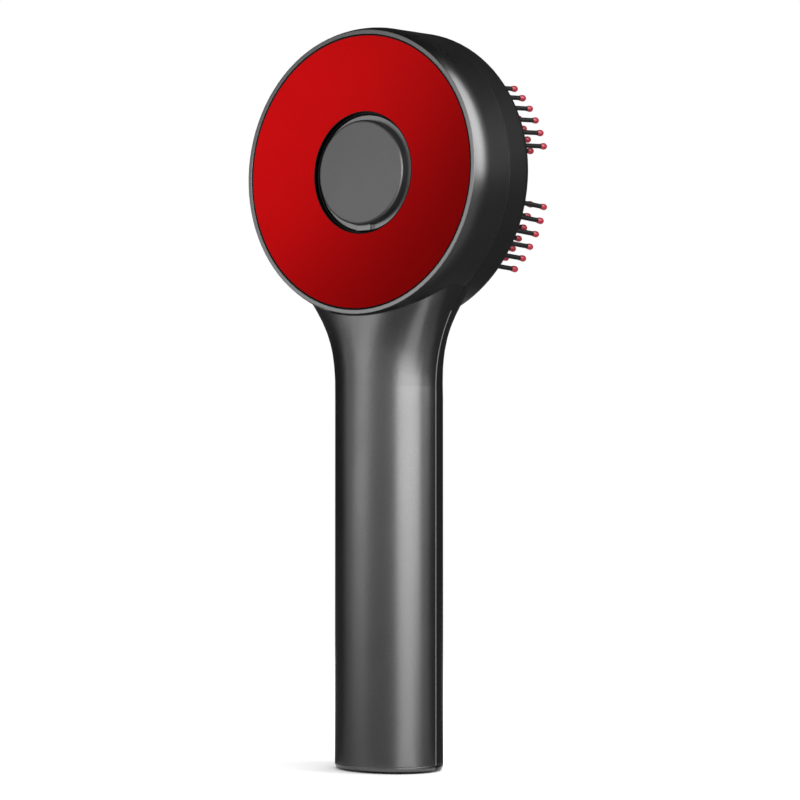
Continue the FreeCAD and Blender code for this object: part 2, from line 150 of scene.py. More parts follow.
def makeBandGroup():
    # mask of what lies between two depths along Y, two heights along Z and two radii round the head's axis
    limits = {f"{measure} {end}": value for measure in ("Depth", "Height", "Radius")
              for end, value in (("From", -1.0), ("To", 1.0))}
    tree, inlet, outlet = newGroup("toneBand", {"Centre Height": headCentre.z, **limits}, ["Mask"])
    coords = addNode(tree, "ShaderNodeTexCoord")
    parts = addNode(tree, "ShaderNodeSeparateXYZ")
    tree.links.new(coords.outputs["Object"], parts.inputs["Vector"])
    above = addNode(tree, "ShaderNodeMath", operation="SUBTRACT")
    tree.links.new(parts.outputs["Z"], above.inputs[0])
    tree.links.new(inlet.outputs["Centre Height"], above.inputs[1])
    flat = addNode(tree, "ShaderNodeCombineXYZ")
    tree.links.new(parts.outputs["X"], flat.inputs["X"])
    tree.links.new(above.outputs["Value"], flat.inputs["Z"])
    reach = addNode(tree, "ShaderNodeVectorMath", operation="LENGTH")
    tree.links.new(flat.outputs["Vector"], reach.inputs[0])
    measured = {"Depth": parts.outputs["Y"], "Height": parts.outputs["Z"], "Radius": reach.outputs["Value"]}
    tests = []
    for measure, value in measured.items():
        for end, operation in (("From", "GREATER_THAN"), ("To", "LESS_THAN")):
            test = addNode(tree, "ShaderNodeMath", operation=operation)
            tree.links.new(value, test.inputs[0])
            tree.links.new(inlet.outputs[f"{measure} {end}"], test.inputs[1])
            tests.append(test)
    mask = tests[0]
    for test in tests[1:]:
        both = addNode(tree, "ShaderNodeMath", operation="MULTIPLY")
        tree.links.new(mask.outputs["Value"], both.inputs[0])
        tree.links.new(test.outputs["Value"], both.inputs[1])
        mask = both
    tree.links.new(mask.outputs["Value"], outlet.inputs["Mask"])
    return tree


edgeSamples = 6     # rays for the rounded look of sharp edges
grainGroup = makeGrainGroup()
handlingGroup = makeHandlingGroup()
bandGroup = makeBandGroup()


def addBand(tree, colour, band):
    # lays the band's own tone over the colour
    inside = addNode(tree, "ShaderNodeGroup", node_tree=bandGroup)
    for measure, (low, high) in band["within"].items():
        inside.inputs[f"{measure} From"].default_value = low
        inside.inputs[f"{measure} To"].default_value = high
    blend = addNode(tree, "ShaderNodeMix", data_type="RGBA")
    blend.inputs["B"].default_value = (*band["tone"], 1.0)
    tree.links.new(colour, blend.inputs["A"])
    tree.links.new(inside.outputs["Mask"], blend.inputs["Factor"])
    return blend.outputs["Result"]


def makeFinish(name, settings):
    # one Principled surface: tones by fleck and band, roughness by handling, bump by grain
    material = bpy.data.materials.new(name)
    material.use_nodes = True
    tree = material.node_tree
    shader = tree.nodes["Principled BSDF"]
    grain = addNode(tree, "ShaderNodeGroup", node_tree=grainGroup)
    setInputs(grain, Scale=settings["grainScale"], Fleck_Scale=settings["fleckScale"])
    marks = addNode(tree, "ShaderNodeGroup", node_tree=handlingGroup)
    low, high = settings["roughness"]
    setInputs(marks, Scale=settings["marksScale"], Low=low, High=high)
    tones = addNode(tree, "ShaderNodeMix", data_type="RGBA")
    tones.inputs["A"].default_value = (*settings["tone"], 1.0)
    tones.inputs["B"].default_value = (*settings["fleckTone"], 1.0)
    bump = addNode(tree, "ShaderNodeBump")
    setInputs(bump, Strength=settings["bumpStrength"], Distance=settings["bumpDepth"])
    if "edgeRadius" in settings:
        edges = addNode(tree, "ShaderNodeBevel", samples=edgeSamples)
        edges.inputs["Radius"].default_value = settings["edgeRadius"]
        tree.links.new(edges.outputs["Normal"], bump.inputs["Normal"])
    tree.links.new(grain.outputs["Fleck"], tones.inputs["Factor"])
    colour = tones.outputs["Result"]
    for band in settings.get("bands", []):
        colour = addBand(tree, colour, band)
    tree.links.new(colour, shader.inputs["Base Color"])
    tree.links.new(marks.outputs["Roughness"], shader.inputs["Roughness"])
    tree.links.new(grain.outputs["Height"], bump.inputs["Height"])
    tree.links.new(bump.outputs["Normal"], shader.inputs["Normal"])
    for key, value in settings.get("shader", {}).items():
        shader.inputs[key].default_value = value
    return material


# depths, heights and radii that the bands of tone follow
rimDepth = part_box("back_shell")[0].y
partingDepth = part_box("front_shell")[0].y
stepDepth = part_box("button")[0].y + 0.0028      # the step round the button's face
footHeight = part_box("end_cap")[0].z
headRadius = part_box("front_shell")[1].x
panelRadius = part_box("back_panel")[1].x
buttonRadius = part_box("button")[1].x
beyond = 0.03                                   # from a piece's end to a limit well outside it

finishSettings = {
    "gunmetalCoat": {   # satin metallic spray on the back shell
        "tone": (0.100, 0.100, 0.102), "fleckTone": (0.125, 0.125, 0.126),
        "grainScale": 2600.0, "fleckScale": 9000.0, "marksScale": 35.0,
        "roughness": (0.27, 0.32), "bumpStrength": 0.05, "bumpDepth": 0.00002,
        "edgeRadius": 0.0003, "shader": {"Metallic": 1.0},
        "bands": [      # the rim's land
            {"within": {"Depth": (rimDepth - 0.0002, rimDepth + 0.0001)}, "tone": (0.140, 0.140, 0.142)},
        ],
    },
    "blackSatin": {
        "tone": (0.0036, 0.0036, 0.0039), "fleckTone": (0.0050, 0.0050, 0.0050),
        "grainScale": 3500.0, "fleckScale": 7000.0, "marksScale": 30.0,
        "roughness": (0.34, 0.42), "bumpStrength": 0.06, "bumpDepth": 0.00003,
        "edgeRadius": 0.0004, "shader": {"Specular IOR Level": 0.3},
        "bands": [      # painted highlight: a light line along the handle's seam, where the edge catches the light
            {"within": {"Depth": (partingDepth, partingDepth + 0.0005),
                        "Radius": (headRadius + 0.0029, headCentre.z + beyond)},
             "tone": (0.10, 0.10, 0.10)},
        ],
    },
    "redLacquer": {
        "tone": (0.275, 0.0019, 0.0024), "fleckTone": (0.305, 0.0025, 0.0031),
        "grainScale": 2200.0, "fleckScale": 8000.0, "marksScale": 25.0,
        "roughness": (0.29, 0.33), "bumpStrength": 0.04, "bumpDepth": 0.00002,
        "shader": {"Metallic": 1.0},
        "bands": [      # painted shade: dark rings round the panel's edges at the rim and the button, where the gaps fall in shadow
            {"within": {"Radius": (panelRadius - 0.0004, panelRadius + 0.0004)},
             "tone": (0.006, 0.006, 0.006)},
            {"within": {"Radius": (buttonRadius - 0.0001, buttonRadius + 0.0007)},
             "tone": (0.006, 0.006, 0.006)},
        ],
    },
    "greySatin": {
        "tone": (0.108, 0.108, 0.110), "fleckTone": (0.122, 0.122, 0.124),
        "grainScale": 3200.0, "fleckScale": 7000.0, "marksScale": 45.0,
        "roughness": (0.40, 0.47), "bumpStrength": 0.06, "bumpDepth": 0.00003,
        "edgeRadius": 0.0002, "shader": {"Metallic": 0.95},
        "bands": [      # the step round the button's face, and painted shade in the gap outside it
            {"within": {"Radius": (buttonRadius - 0.0016, buttonRadius - 0.0004)},
             "tone": (0.21, 0.21, 0.21)},
            {"within": {"Radius": (buttonRadius - 0.0004, buttonRadius + 0.0002),
                        "Depth": (stepDepth - 0.0002, stepDepth + 0.0002)},
             "tone": (0.006, 0.006, 0.006)},
        ],
    },
    "mouldedBlack": {
        "tone": (0.014, 0.014, 0.014), "fleckTone": (0.022, 0.022, 0.022),
        "grainScale": 2400.0, "fleckScale": 5000.0, "marksScale": 40.0,
        "roughness": (0.45, 0.58), "bumpStrength": 0.15, "bumpDepth": 0.00004,
    },
    "padRubber": {
        "tone": (0.024, 0.024, 0.025), "fleckTone": (0.034, 0.034, 0.035),
        "grainScale": 1800.0, "fleckScale": 4000.0, "marksScale": 60.0,
        "roughness": (0.62, 0.78), "bumpStrength": 0.2, "bumpDepth": 0.00005,
    },
    "gripRubber": {
        "tone": (0.026, 0.026, 0.026), "fleckTone": (0.034, 0.034, 0.034),
        "grainScale": 2500.0, "fleckScale": 5000.0, "marksScale": 80.0,
        "roughness": (0.6, 0.75), "bumpStrength": 0.15, "bumpDepth": 0.00003,
    },
    "bristleNylon": {
        "tone": (0.0042, 0.0037, 0.0039), "fleckTone": (0.0065, 0.0060, 0.0060),
        "grainScale": 4000.0, "fleckScale": 6000.0, "marksScale": 200.0,
        "roughness": (0.36, 0.5), "bumpStrength": 0.1, "bumpDepth": 0.00003,
        "shader": {"Specular IOR Level": 0.3},
    },
    "tipRed": {
        "tone": (0.215, 0.0100, 0.021), "fleckTone": (0.25, 0.015, 0.028),
        "grainScale": 3000.0, "fleckScale": 3000.0, "marksScale": 250.0,
        "roughness": (0.22, 0.34), "bumpStrength": 0.05, "bumpDepth": 0.00003,
        "shader": {"Subsurface Weight": 0.1, "Subsurface Scale": 0.0006},
    },
    "screwSteel": {
        "tone": (0.52, 0.52, 0.53), "fleckTone": (0.60, 0.60, 0.60),
        "grainScale": 5000.0, "fleckScale": 9000.0, "marksScale": 300.0,
        "roughness": (0.28, 0.42), "bumpStrength": 0.1, "bumpDepth": 0.00002,
        "shader": {"Metallic": 1.0},
    },
}
# the shell's coat on the end cap, black in front and along the lowest 0.7 mm of the cap
finishSettings["footCoat"] = {**finishSettings["gunmetalCoat"], "bands": [
    {"within": {"Depth": (partingDepth, partingDepth + beyond)}, "tone": (0.004, 0.004, 0.004)},
    {"within": {"Height": (footHeight - beyond, footHeight + 0.0007)}, "tone": (0.004, 0.004, 0.004)},
]}
finishes = {name: makeFinish(name, settings) for name, settings in finishSettings.items()}
print("finishes made:", len(finishes))


# Finish of each CAD node, by its name without the number

finishOfNode = {
    "back_shell": "gunmetalCoat",
    "front_shell": "blackSatin",
    "end_cap": "footCoat",
    "back_panel": "redLacquer",
    "button_bezel": "blackSatin",
    "front_plate": "mouldedBlack",
    "grip_rings": "gripRubber",
    "head_screws": "screwSteel",
    "button": "greySatin",
    "plunger": "mouldedBlack",
    "front_button": "greySatin",
    "plunger_screw": "screwSteel",
    "air_pad": "padRubber",
    "bristle_plate": "mouldedBlack",
    "bristles": "bristleNylon",
    "bristle_tips": "tipRed",
    "segment_screw": "screwSteel",
}


def dressNodes():
    for name, node in nodes.items():
        family = name.rstrip("0123456789").rstrip("_")
        node.data.materials.clear()
        node.data.materials.append(finishes[finishOfNode[family]])


dressNodes()
print("nodes dressed")


def meshObject(name, bm):
    mesh = bpy.data.meshes.new(name)
    bm.to_mesh(mesh)
    bm.free()
    obj = bpy.data.objects.new(name, mesh)
    scene.collection.objects.link(obj)
    return obj


# Bristle segments: where each bristle stands, taken from the loose solids of its CAD node

segmentCount = sum(name.startswith("bristles_") for name in nodes)
mergeDistance = 1e-6        # corners this close are one corner of a CAD solid
levelDistance = 1e-5        # corners this close in depth lie on one end of a bristle


def looseSolids(node):
    bm = bmesh.new()
    bm.from_mesh(node.data)
    bmesh.ops.remove_doubles(bm, verts=bm.verts, dist=mergeDistance)
    solids, seen = [], set()
    for start in bm.verts:
        if start in seen:
            continue
        seen.add(start)
        solid, waiting = [], [start]
        while waiting:
            vert = waiting.pop()
            solid.append(vert.co.copy())
            for edge in vert.link_edges:
                other = edge.other_vert(vert)
                if other not in seen:
                    seen.add(other)
                    waiting.append(other)
        solids.append(solid)
    bm.free()
    return solids


def levelCentre(points, y):
    level = [p for p in points if abs(p.y - y) < levelDistance]
    return sum(level, Vector()) / len(level)


def bristleLines(index):
    lines = []
    for points in looseSolids(nodes[f"bristles_{index}"]):
        low, high = (pick(p.y for p in points) for pick in (min, max))
        lines.append((levelCentre(points, low), levelCentre(points, high)))
    return lines


segmentLines = {index: bristleLines(index) for index in range(1, segmentCount + 1)}
print("bristles found:", sum(len(lines) for lines in segmentLines.values()))


# Geometry Nodes for the bristles and their dipped tips

bristleSettings = {
    "rootRadius": 0.00075,
    "endRadius": 0.00070,
    "sides": 10,
    "rings": 4,
    "tipRadius": 0.00100,
    "tipSides": 12,
    "tipRings": 7,
    "tipStretch": 2.5,      # how far the dipped coat runs back along the bristle, in tip radii
    "tipSpread": 0.05,      # share by which the coats differ in size
    "seed": 7,
}


def newFieldGroup(name, numbers):
    tree = bpy.data.node_groups.new(name, "GeometryNodeTree")
    sockets = tree.interface
    sockets.new_socket(name="Roots", in_out="INPUT", socket_type="NodeSocketGeometry")
    sockets.new_socket(name="Axis", in_out="INPUT", socket_type="NodeSocketVector")
    for label, value in numbers.items():
        kind = "NodeSocketInt" if isinstance(value, int) else "NodeSocketFloat"
        sockets.new_socket(name=label, in_out="INPUT", socket_type=kind).default_value = value
    sockets.new_socket(name="Finish", in_out="INPUT", socket_type="NodeSocketMaterial")
    sockets.new_socket(name="Geometry", in_out="OUTPUT", socket_type="NodeSocketGeometry")
    return tree, addNode(tree, "NodeGroupInput"), addNode(tree, "NodeGroupOutput")


def placeOnRoots(tree, inlet, outlet, shape, scale=None):
    smooth = addNode(tree, "GeometryNodeSetShadeSmooth")
    tree.links.new(shape, smooth.inputs["Geometry"])
    turn = addNode(tree, "FunctionNodeAlignRotationToVector", axis="Z")
    tree.links.new(inlet.outputs["Axis"], turn.inputs["Vector"])
    place = addNode(tree, "GeometryNodeInstanceOnPoints")
    tree.links.new(inlet.outputs["Roots"], place.inputs["Points"])
    tree.links.new(smooth.outputs["Geometry"], place.inputs["Instance"])
    tree.links.new(turn.outputs["Rotation"], place.inputs["Rotation"])
    if scale:
        tree.links.new(scale, place.inputs["Scale"])
    realize = addNode(tree, "GeometryNodeRealizeInstances")
    tree.links.new(place.outputs["Instances"], realize.inputs["Geometry"])
    paint = addNode(tree, "GeometryNodeSetMaterial")
    tree.links.new(realize.outputs["Geometry"], paint.inputs["Geometry"])
    tree.links.new(inlet.outputs["Finish"], paint.inputs["Material"])
    tree.links.new(paint.outputs["Geometry"], outlet.inputs["Geometry"])


def makeShaftGroup(settings):
    # a slightly tapering round shaft on every root, along the axis
    numbers = {"Length": 0.02, "Root Radius": settings["rootRadius"], "End Radius": settings["endRadius"],
               "Sides": settings["sides"], "Rings": settings["rings"]}
    tree, inlet, outlet = newFieldGroup("bristleShafts", numbers)
    spine = addNode(tree, "GeometryNodeCurvePrimitiveLine", mode="DIRECTION")
    spine.inputs["Direction"].default_value = (0.0, 0.0, 1.0)
    tree.links.new(inlet.outputs["Length"], spine.inputs["Length"])
    rings = addNode(tree, "GeometryNodeResampleCurve")
    tree.links.new(spine.outputs["Curve"], rings.inputs["Curve"])
    tree.links.new(inlet.outputs["Rings"], rings.inputs["Count"])
    along = addNode(tree, "GeometryNodeSplineParameter")
    taper = addNode(tree, "ShaderNodeMapRange")
    tree.links.new(along.outputs["Factor"], taper.inputs["Value"])
    tree.links.new(inlet.outputs["Root Radius"], taper.inputs["To Min"])
    tree.links.new(inlet.outputs["End Radius"], taper.inputs["To Max"])
    thick = addNode(tree, "GeometryNodeSetCurveRadius")
    tree.links.new(rings.outputs["Curve"], thick.inputs["Curve"])
    tree.links.new(taper.outputs["Result"], thick.inputs["Radius"])
    profile = addNode(tree, "GeometryNodeCurvePrimitiveCircle")
    profile.inputs["Radius"].default_value = 1.0
    tree.links.new(inlet.outputs["Sides"], profile.inputs["Resolution"])
    sweep = addNode(tree, "GeometryNodeCurveToMesh")
    sweep.inputs["Fill Caps"].default_value = True
    tree.links.new(thick.outputs["Curve"], sweep.inputs["Curve"])
    tree.links.new(profile.outputs["Curve"], sweep.inputs["Profile Curve"])
    reach = addNode(tree, "GeometryNodeInputRadius")
    tree.links.new(reach.outputs["Radius"], sweep.inputs["Scale"])
    placeOnRoots(tree, inlet, outlet, sweep.outputs["Mesh"])
    return tree


def makeTipGroup(settings):
    # a drop of dipped coat on every bristle's end: a ball in front, drawn out backwards
    numbers = {"Reach": 0.02, "Tip Radius": settings["tipRadius"], "Stretch": settings["tipStretch"],
               "Spread": settings["tipSpread"], "Sides": settings["tipSides"],
               "Rings": settings["tipRings"], "Seed": settings["seed"]}
    tree, inlet, outlet = newFieldGroup("bristleTips", numbers)
    ball = addNode(tree, "GeometryNodeMeshUVSphere")
    tree.links.new(inlet.outputs["Tip Radius"], ball.inputs["Radius"])
    tree.links.new(inlet.outputs["Sides"], ball.inputs["Segments"])
    tree.links.new(inlet.outputs["Rings"], ball.inputs["Rings"])
    place = addNode(tree, "GeometryNodeInputPosition")
    parts = addNode(tree, "ShaderNodeSeparateXYZ")
    tree.links.new(place.outputs["Position"], parts.inputs["Vector"])
    behind = addNode(tree, "FunctionNodeCompare", data_type="FLOAT", operation="LESS_THAN")
    tree.links.new(parts.outputs["Z"], behind.inputs["A"])
    drawn = addNode(tree, "ShaderNodeMath", operation="MULTIPLY")
    tree.links.new(parts.outputs["Z"], drawn.inputs[0])
    tree.links.new(inlet.outputs["Stretch"], drawn.inputs[1])
    depth = addNode(tree, "GeometryNodeSwitch", input_type="FLOAT")
    tree.links.new(behind.outputs["Result"], depth.inputs["Switch"])
    tree.links.new(parts.outputs["Z"], depth.inputs["False"])
    tree.links.new(drawn.outputs["Value"], depth.inputs["True"])
    lifted = addNode(tree, "ShaderNodeMath", operation="ADD")
    tree.links.new(depth.outputs["Output"], lifted.inputs[0])
    tree.links.new(inlet.outputs["Reach"], lifted.inputs[1])
    joined = addNode(tree, "ShaderNodeCombineXYZ")
    tree.links.new(parts.outputs["X"], joined.inputs["X"])
    tree.links.new(parts.outputs["Y"], joined.inputs["Y"])
    tree.links.new(lifted.outputs["Value"], joined.inputs["Z"])
    drop = addNode(tree, "GeometryNodeSetPosition")
    tree.links.new(ball.outputs["Mesh"], drop.inputs["Geometry"])
    tree.links.new(joined.outputs["Vector"], drop.inputs["Position"])
    least = addNode(tree, "ShaderNodeMath", operation="SUBTRACT")
    least.inputs[0].default_value = 1.0
    tree.links.new(inlet.outputs["Spread"], least.inputs[1])
    width = addNode(tree, "FunctionNodeRandomValue", data_type="FLOAT")
    width.inputs["Max"].default_value = 1.0
    tree.links.new(least.outputs["Value"], width.inputs["Min"])
    tree.links.new(inlet.outputs["Seed"], width.inputs["Seed"])
    size = addNode(tree, "ShaderNodeCombineXYZ")
    size.inputs["Z"].default_value = 1.0
    tree.links.new(width.outputs["Value"], size.inputs["X"])
    tree.links.new(width.outputs["Value"], size.inputs["Y"])
    placeOnRoots(tree, inlet, outlet, drop.outputs["Geometry"], size.outputs["Vector"])
    return tree


def growField(name, tree, roots, values):
    mesh = bpy.data.meshes.new(name + "Roots")
    mesh.from_pydata(roots, [], [])
    piece = bpy.data.objects.new(name, mesh)
    scene.collection.objects.link(piece)
    grow = piece.modifiers.new("grow", "NODES")
    grow.node_group = tree
    for item in tree.interface.items_tree:
        if item.in_out == "INPUT" and item.name in values:
            grow[item.identifier] = values[item.name]
    grown = bpy.data.meshes.new_from_object(piece.evaluated_get(bpy.context.evaluated_depsgraph_get()))
    piece.modifiers.clear()
    piece.data = grown
    bpy.data.meshes.remove(mesh)
    return piece


def makeBristles():
    shaftGroup, tipGroup = makeShaftGroup(bristleSettings), makeTipGroup(bristleSettings)
    for index, lines in segmentLines.items():
        roots = [low for low, high in lines]
        axis = (lines[0][1] - lines[0][0]).normalized()
        length = (lines[0][1] - lines[0][0]).length
        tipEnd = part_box(f"bristle_tips_{index}")[1].y
        reach = (tipEnd - bristleSettings["tipRadius"] - roots[0].y) / axis.y
        shafts = growField(f"bristleShafts{index}", shaftGroup, roots,
                           {"Axis": axis, "Length": length, "Finish": finishes["bristleNylon"]})
        tips = growField(f"bristleTips{index}", tipGroup, roots,
                         {"Axis": axis, "Reach": reach, "Finish": finishes["tipRed"]})
        for piece, node, slot in ((shafts, "bristles", "bristle_nylon"), (tips, "bristle_tips", "tip_red")):
            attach(piece, f"segment_{index}")
            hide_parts(f"{node}_{index}")


makeBristles()
print("bristles grown")


# Air pads: crowned petals with a rolled edge and a raised collar round every bore

padSettings = {
    "crown": 0.0028,                    # height of the pad above its seat
    "crownRadius": 0.062,
    "edgeRound": 0.0007,
    "edgeRings": (0.2, 0.55, 1.0),      # rings of points inside the edge, as shares of its rounding
    "cornerRound": 0.0022,
    "boreRadius": 0.00115,
    "borePoints": 16,
    "boreRim": 1.01,                    # a point this near a bore's middle, in radii, is on the bore's rim
    "boreInside": 0.97,                 # a face this near a bore's middle, in radii, is in the bore
    "collarHeight": 0.00035,
    "collarWidth": 0.0006,
    "collarRings": (0.3, 0.65, 1.0),    # rings of points round a bore, as shares of the collar's width
    "step": 0.0011,                     # distance between points elsewhere
    "sharpAngle": 50.0,
    "fill": 0.85,
}
trianglesInside = 1                     # kind of result: triangles inside the fixed edges
trianglePrecision = 1e-7
fewestSteps = 3                         # along an arc of the outline
halfPetal = math.pi / segmentCount


def petalFrame(index):
    # directions along and across the petal's middle line, in the head's plane
    angle = math.radians(360 / segmentCount * (index - 0.5))
    along = Vector((math.cos(angle), 0.0, math.sin(angle)))
    across = Vector((-math.sin(angle), 0.0, math.cos(angle)))
    return along, across


def petalLimits(index):
    # inner and outer radius of the CAD pad, and half the gap to the next one
    along, across = petalFrame(index)
    flat = [(v.co - headCentre) for v in nodes[f"air_pad_{index}"].data.vertices]
    flat = [(p.dot(along), p.dot(across)) for p in flat]
    radii = [math.hypot(u, v) for u, v in flat]
    gap = min(u * math.sin(halfPetal) - abs(v) * math.cos(halfPetal) for u, v in flat)
    return min(radii), max(radii), gap


def padPlan(index):
    # the pad seen along the head's axis, with its bores and how far these lean for each unit of depth
    along, across = petalFrame(index)
    inner, outer, gap = petalLimits(index)
    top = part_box(f"air_pad_{index}")[1].y
    lines = segmentLines[index]
    lean = (lines[0][1] - lines[0][0]) / (lines[0][1].y - lines[0][0].y)
    bores = []
    for root, end in lines:
        crossing = root + lean * (top - root.y) - headCentre
        bores.append(Vector((crossing.dot(along), crossing.dot(across))))
    return {"along": along, "across": across, "inner": inner, "outer": outer, "gap": gap, "top": top,
            "middle": Vector(((inner + outer) / 2, 0.0)), "bores": bores,
            "lean": Vector((lean.dot(along), lean.dot(across)))}


def arcPoints(centre, radius, start, end, step):
    count = max(fewestSteps, round(abs(end - start) * radius / step))
    turns = [start + (end - start) * i / count for i in range(count + 1)]
    return [centre + Vector((math.cos(t), math.sin(t))) * radius for t in turns]


def petalOutline(plan, inset, settings):
    # closed outline with round corners, the inset inside the pad's own
    inner, outer, gap = plan["inner"] + inset, plan["outer"] - inset, plan["gap"] + inset
    corner, step = settings["cornerRound"] - inset, settings["step"]
    outerAt, innerAt = outer - corner, inner + corner
    outerTurn = halfPetal - math.asin((gap + corner) / outerAt)
    innerTurn = halfPetal - math.asin((gap + corner) / innerAt)
    hub = Vector((0.0, 0.0))
    outerCentre = Vector((math.cos(outerTurn), math.sin(outerTurn))) * outerAt
    innerCentre = Vector((math.cos(innerTurn), math.sin(innerTurn))) * innerAt
    side = halfPetal + math.pi / 2
    upper = arcPoints(hub, outer, 0.0, outerTurn, step)
    upper += arcPoints(outerCentre, corner, outerTurn, side, step)[1:]
    innerCorner = arcPoints(innerCentre, corner, side, innerTurn + math.pi, step)
    count = max(1, round((innerCorner[0] - upper[-1]).length / step))
    upper += [upper[-1].lerp(innerCorner[0], i / count) for i in range(1, count)]
    upper += innerCorner
    upper += arcPoints(hub, inner, innerTurn, 0.0, step)[1:]
    lower = [Vector((p.x, -p.y)) for p in reversed(upper[1:-1])]
    return upper + lower


def ringRound(centre, radius, count):
    turns = [2 * math.pi * i / count for i in range(count)]
    return [centre + Vector((math.cos(t), math.sin(t))) * radius for t in turns]


def edgeDepth(plan, point):
    # how far inside the pad's edge a point lies
    radius = point.length
    side = point.x * math.sin(halfPetal) - abs(point.y) * math.cos(halfPetal) - plan["gap"]
    return min(plan["outer"] - radius, radius - plan["inner"], side)


def nearestBore(plan, point):
    return min((point - bore).length for bore in plan["bores"])


def padHeight(plan, point, depth, settings):
    # height over the seat: a shallow dome, rolled down at the edge and raised round the bores
    roll = 1 - min(max(depth / settings["edgeRound"], 0.0), 1.0)
    height = settings["crown"] - (point - plan["middle"]).length_squared / (2 * settings["crownRadius"])
    height -= settings["edgeRound"] * (1 - math.sqrt(max(1 - roll * roll, 0.0)))
    away = nearestBore(plan, point) - settings["boreRadius"]
    if away < settings["collarWidth"]:
        slope = math.cos(math.pi * max(away, 0.0) / settings["collarWidth"])
        height += settings["collarHeight"] * (1 + slope) / 2
    return height


def padPoints(plan, settings):
    # points of the pad, how far inside its edge each lies, and the fixed edges along its outline and bores
    outline = petalOutline(plan, 0.0, settings)
    rims = [ringRound(bore, settings["boreRadius"], settings["borePoints"]) for bore in plan["bores"]]
    points, edges = [], []
    for loop in [outline] + rims:
        first = len(points)
        points += loop
        edges += [(first + i, first + (i + 1) % len(loop)) for i in range(len(loop))]
    depths = [0.0] * len(outline) + [edgeDepth(plan, p) for p in points[len(outline):]]
    for share in settings["edgeRings"]:
        inset = share * settings["edgeRound"]
        ring = petalOutline(plan, inset, settings)
        points += ring
        depths += [inset] * len(ring)
    for share in settings["collarRings"]:
        radius = settings["boreRadius"] + share * settings["collarWidth"]
        for bore in plan["bores"]:
            ring = ringRound(bore, radius, settings["borePoints"])
            points += ring
            depths += [edgeDepth(plan, p) for p in ring]
    step = settings["step"]
    clear = settings["boreRadius"] + settings["collarWidth"] + step / 2
    count = math.ceil(plan["outer"] / step)
    for i in range(count + 1):
        for j in range(-count, count + 1):
            point = Vector((i * step, (j + (i % 2) / 2) * step))
            depth = edgeDepth(plan, point)
            if depth > settings["edgeRound"] + step / 2 and nearestBore(plan, point) > clear:
                points.append(point)
                depths.append(depth)
    return points, depths, edges


def padMesh(plan, settings):
    # closed mesh: the crowned top, the flat seat under it, and walls round the outline and the leaning bores
    points, depths, edges = padPoints(plan, settings)
    made = delaunay_2d_cdt(points, edges, [], trianglesInside, trianglePrecision)
    flatVerts, faces, sources = made[0], made[2], made[3]
    seat = plan["top"] - settings["crown"]
    bm = bmesh.new()
    upper, lower = [], []
    for point, source in zip(flatVerts, sources):
        depth = depths[source[0]] if source else edgeDepth(plan, point)
        height = padHeight(plan, point, depth, settings)
        onRim = nearestBore(plan, point) < settings["boreRadius"] * settings["boreRim"]
        below = point - plan["lean"] * settings["crown"] if onRim else point
        for level, flat, y in ((upper, point, seat + height), (lower, below, seat)):
            place = headCentre + plan["along"] * flat.x + plan["across"] * flat.y
            level.append(bm.verts.new((place.x, y, place.z)))
    for face in faces:
        centre = sum((flatVerts[i] for i in face), Vector((0.0, 0.0))) / len(face)
        if nearestBore(plan, centre) >= settings["boreRadius"] * settings["boreInside"]:
            bm.faces.new([upper[i] for i in face])
            bm.faces.new([lower[i] for i in reversed(face)])
    under = dict(zip(upper, lower))
    for edge in [e for e in bm.edges if e.verts[0] in under and len(e.link_faces) == 1]:
        first, second = edge.verts
        bm.faces.new((first, second, under[second], under[first]))
    bmesh.ops.delete(bm, geom=[v for v in bm.verts if not v.link_faces], context="VERTS")
    bmesh.ops.recalc_face_normals(bm, faces=bm.faces)
    return bm


def makePad(index, settings):
    pad = meshObject(f"airPad{index}", padMesh(padPlan(index), settings))
    pad.data.shade_smooth()
    pad.data.set_sharp_from_angle(angle=math.radians(settings["sharpAngle"]))
    pad.data.materials.append(finishes["padRubber"])
    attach(pad, "housing")
    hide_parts(f"air_pad_{index}")


for padIndex in range(1, segmentCount + 1):
    makePad(padIndex, padSettings)
print("air pads made")


# Floor, background and studio light: turns are degrees to the right of the camera's direction,
# and flags and cards show in reflections only

floorSettings = {
    "radius": 0.60,
    "sides": 96,
    "fadeFrom": 0.20,           # the floor fades into the white background from here outwards
    "fadeTo": 0.55,
    "tone": (0.93, 0.93, 0.93, 1.0),
}
skyForDiffuse = 0.80            # share of the white background that reaches matt surfaces
mattFinish = {"Roughness": 0.9, "Specular IOR Level": 0.0}
lightTarget = Vector((0.0, 0.0, 0.115))     # what the lamps and cards face
softBoxes = {   # roll turns the box's long side from upright towards larger turns
    "keyBox": {"turn": 23.5, "elevation": 4.0, "distance": 1.3,
               "width": 1.34, "height": 1.0, "glow": 4.5},
    "fillBox": {"turn": -71.0, "elevation": 1.0, "roll": 56.0, "distance": 1.3,
                "width": 0.38, "height": 1.5, "glow": 1.9},
    "sideBox": {"turn": 72.5, "elevation": 36.0, "distance": 0.375,
                "width": 0.16, "height": 0.42, "glow": 5.0},
    "topBox": {"turn": 170.0, "elevation": 66.0, "distance": 1.4,
               "width": 0.9, "height": 0.9, "glow": 2.6, "mirrored": False},
}
flagSteps = 24
flags = {   # strips swept round the object, between two edges given as (radius, height)
    "backFlag": {"turns": (80.0, 252.0), "edges": ((1.9, -0.01), (1.9, 1.9)), "tone": 0.03},
    "topFlag": {"turns": (0.0, 360.0), "edges": ((0.05, 1.9), (1.9, 1.9)), "tone": 0.03},
    "backCard": {"turns": (80.0, 252.0), "edges": ((0.02, 0.0004), (1.9, 0.0004)), "tone": 0.07},
    "frontCard": {"turns": (-108.0, 80.0), "edges": ((0.02, 0.0004), (2.6, 0.0004)), "tone": 0.22},
    "keyCard": {"turns": (4.0, 34.0), "edges": ((0.02, 0.0006), (2.6, 0.0006)), "tone": 0.95},
    "rearCard": {"turns": (152.0, 202.0), "edges": ((0.02, 0.0006), (0.45, 0.0006)), "tone": 0.7},
}
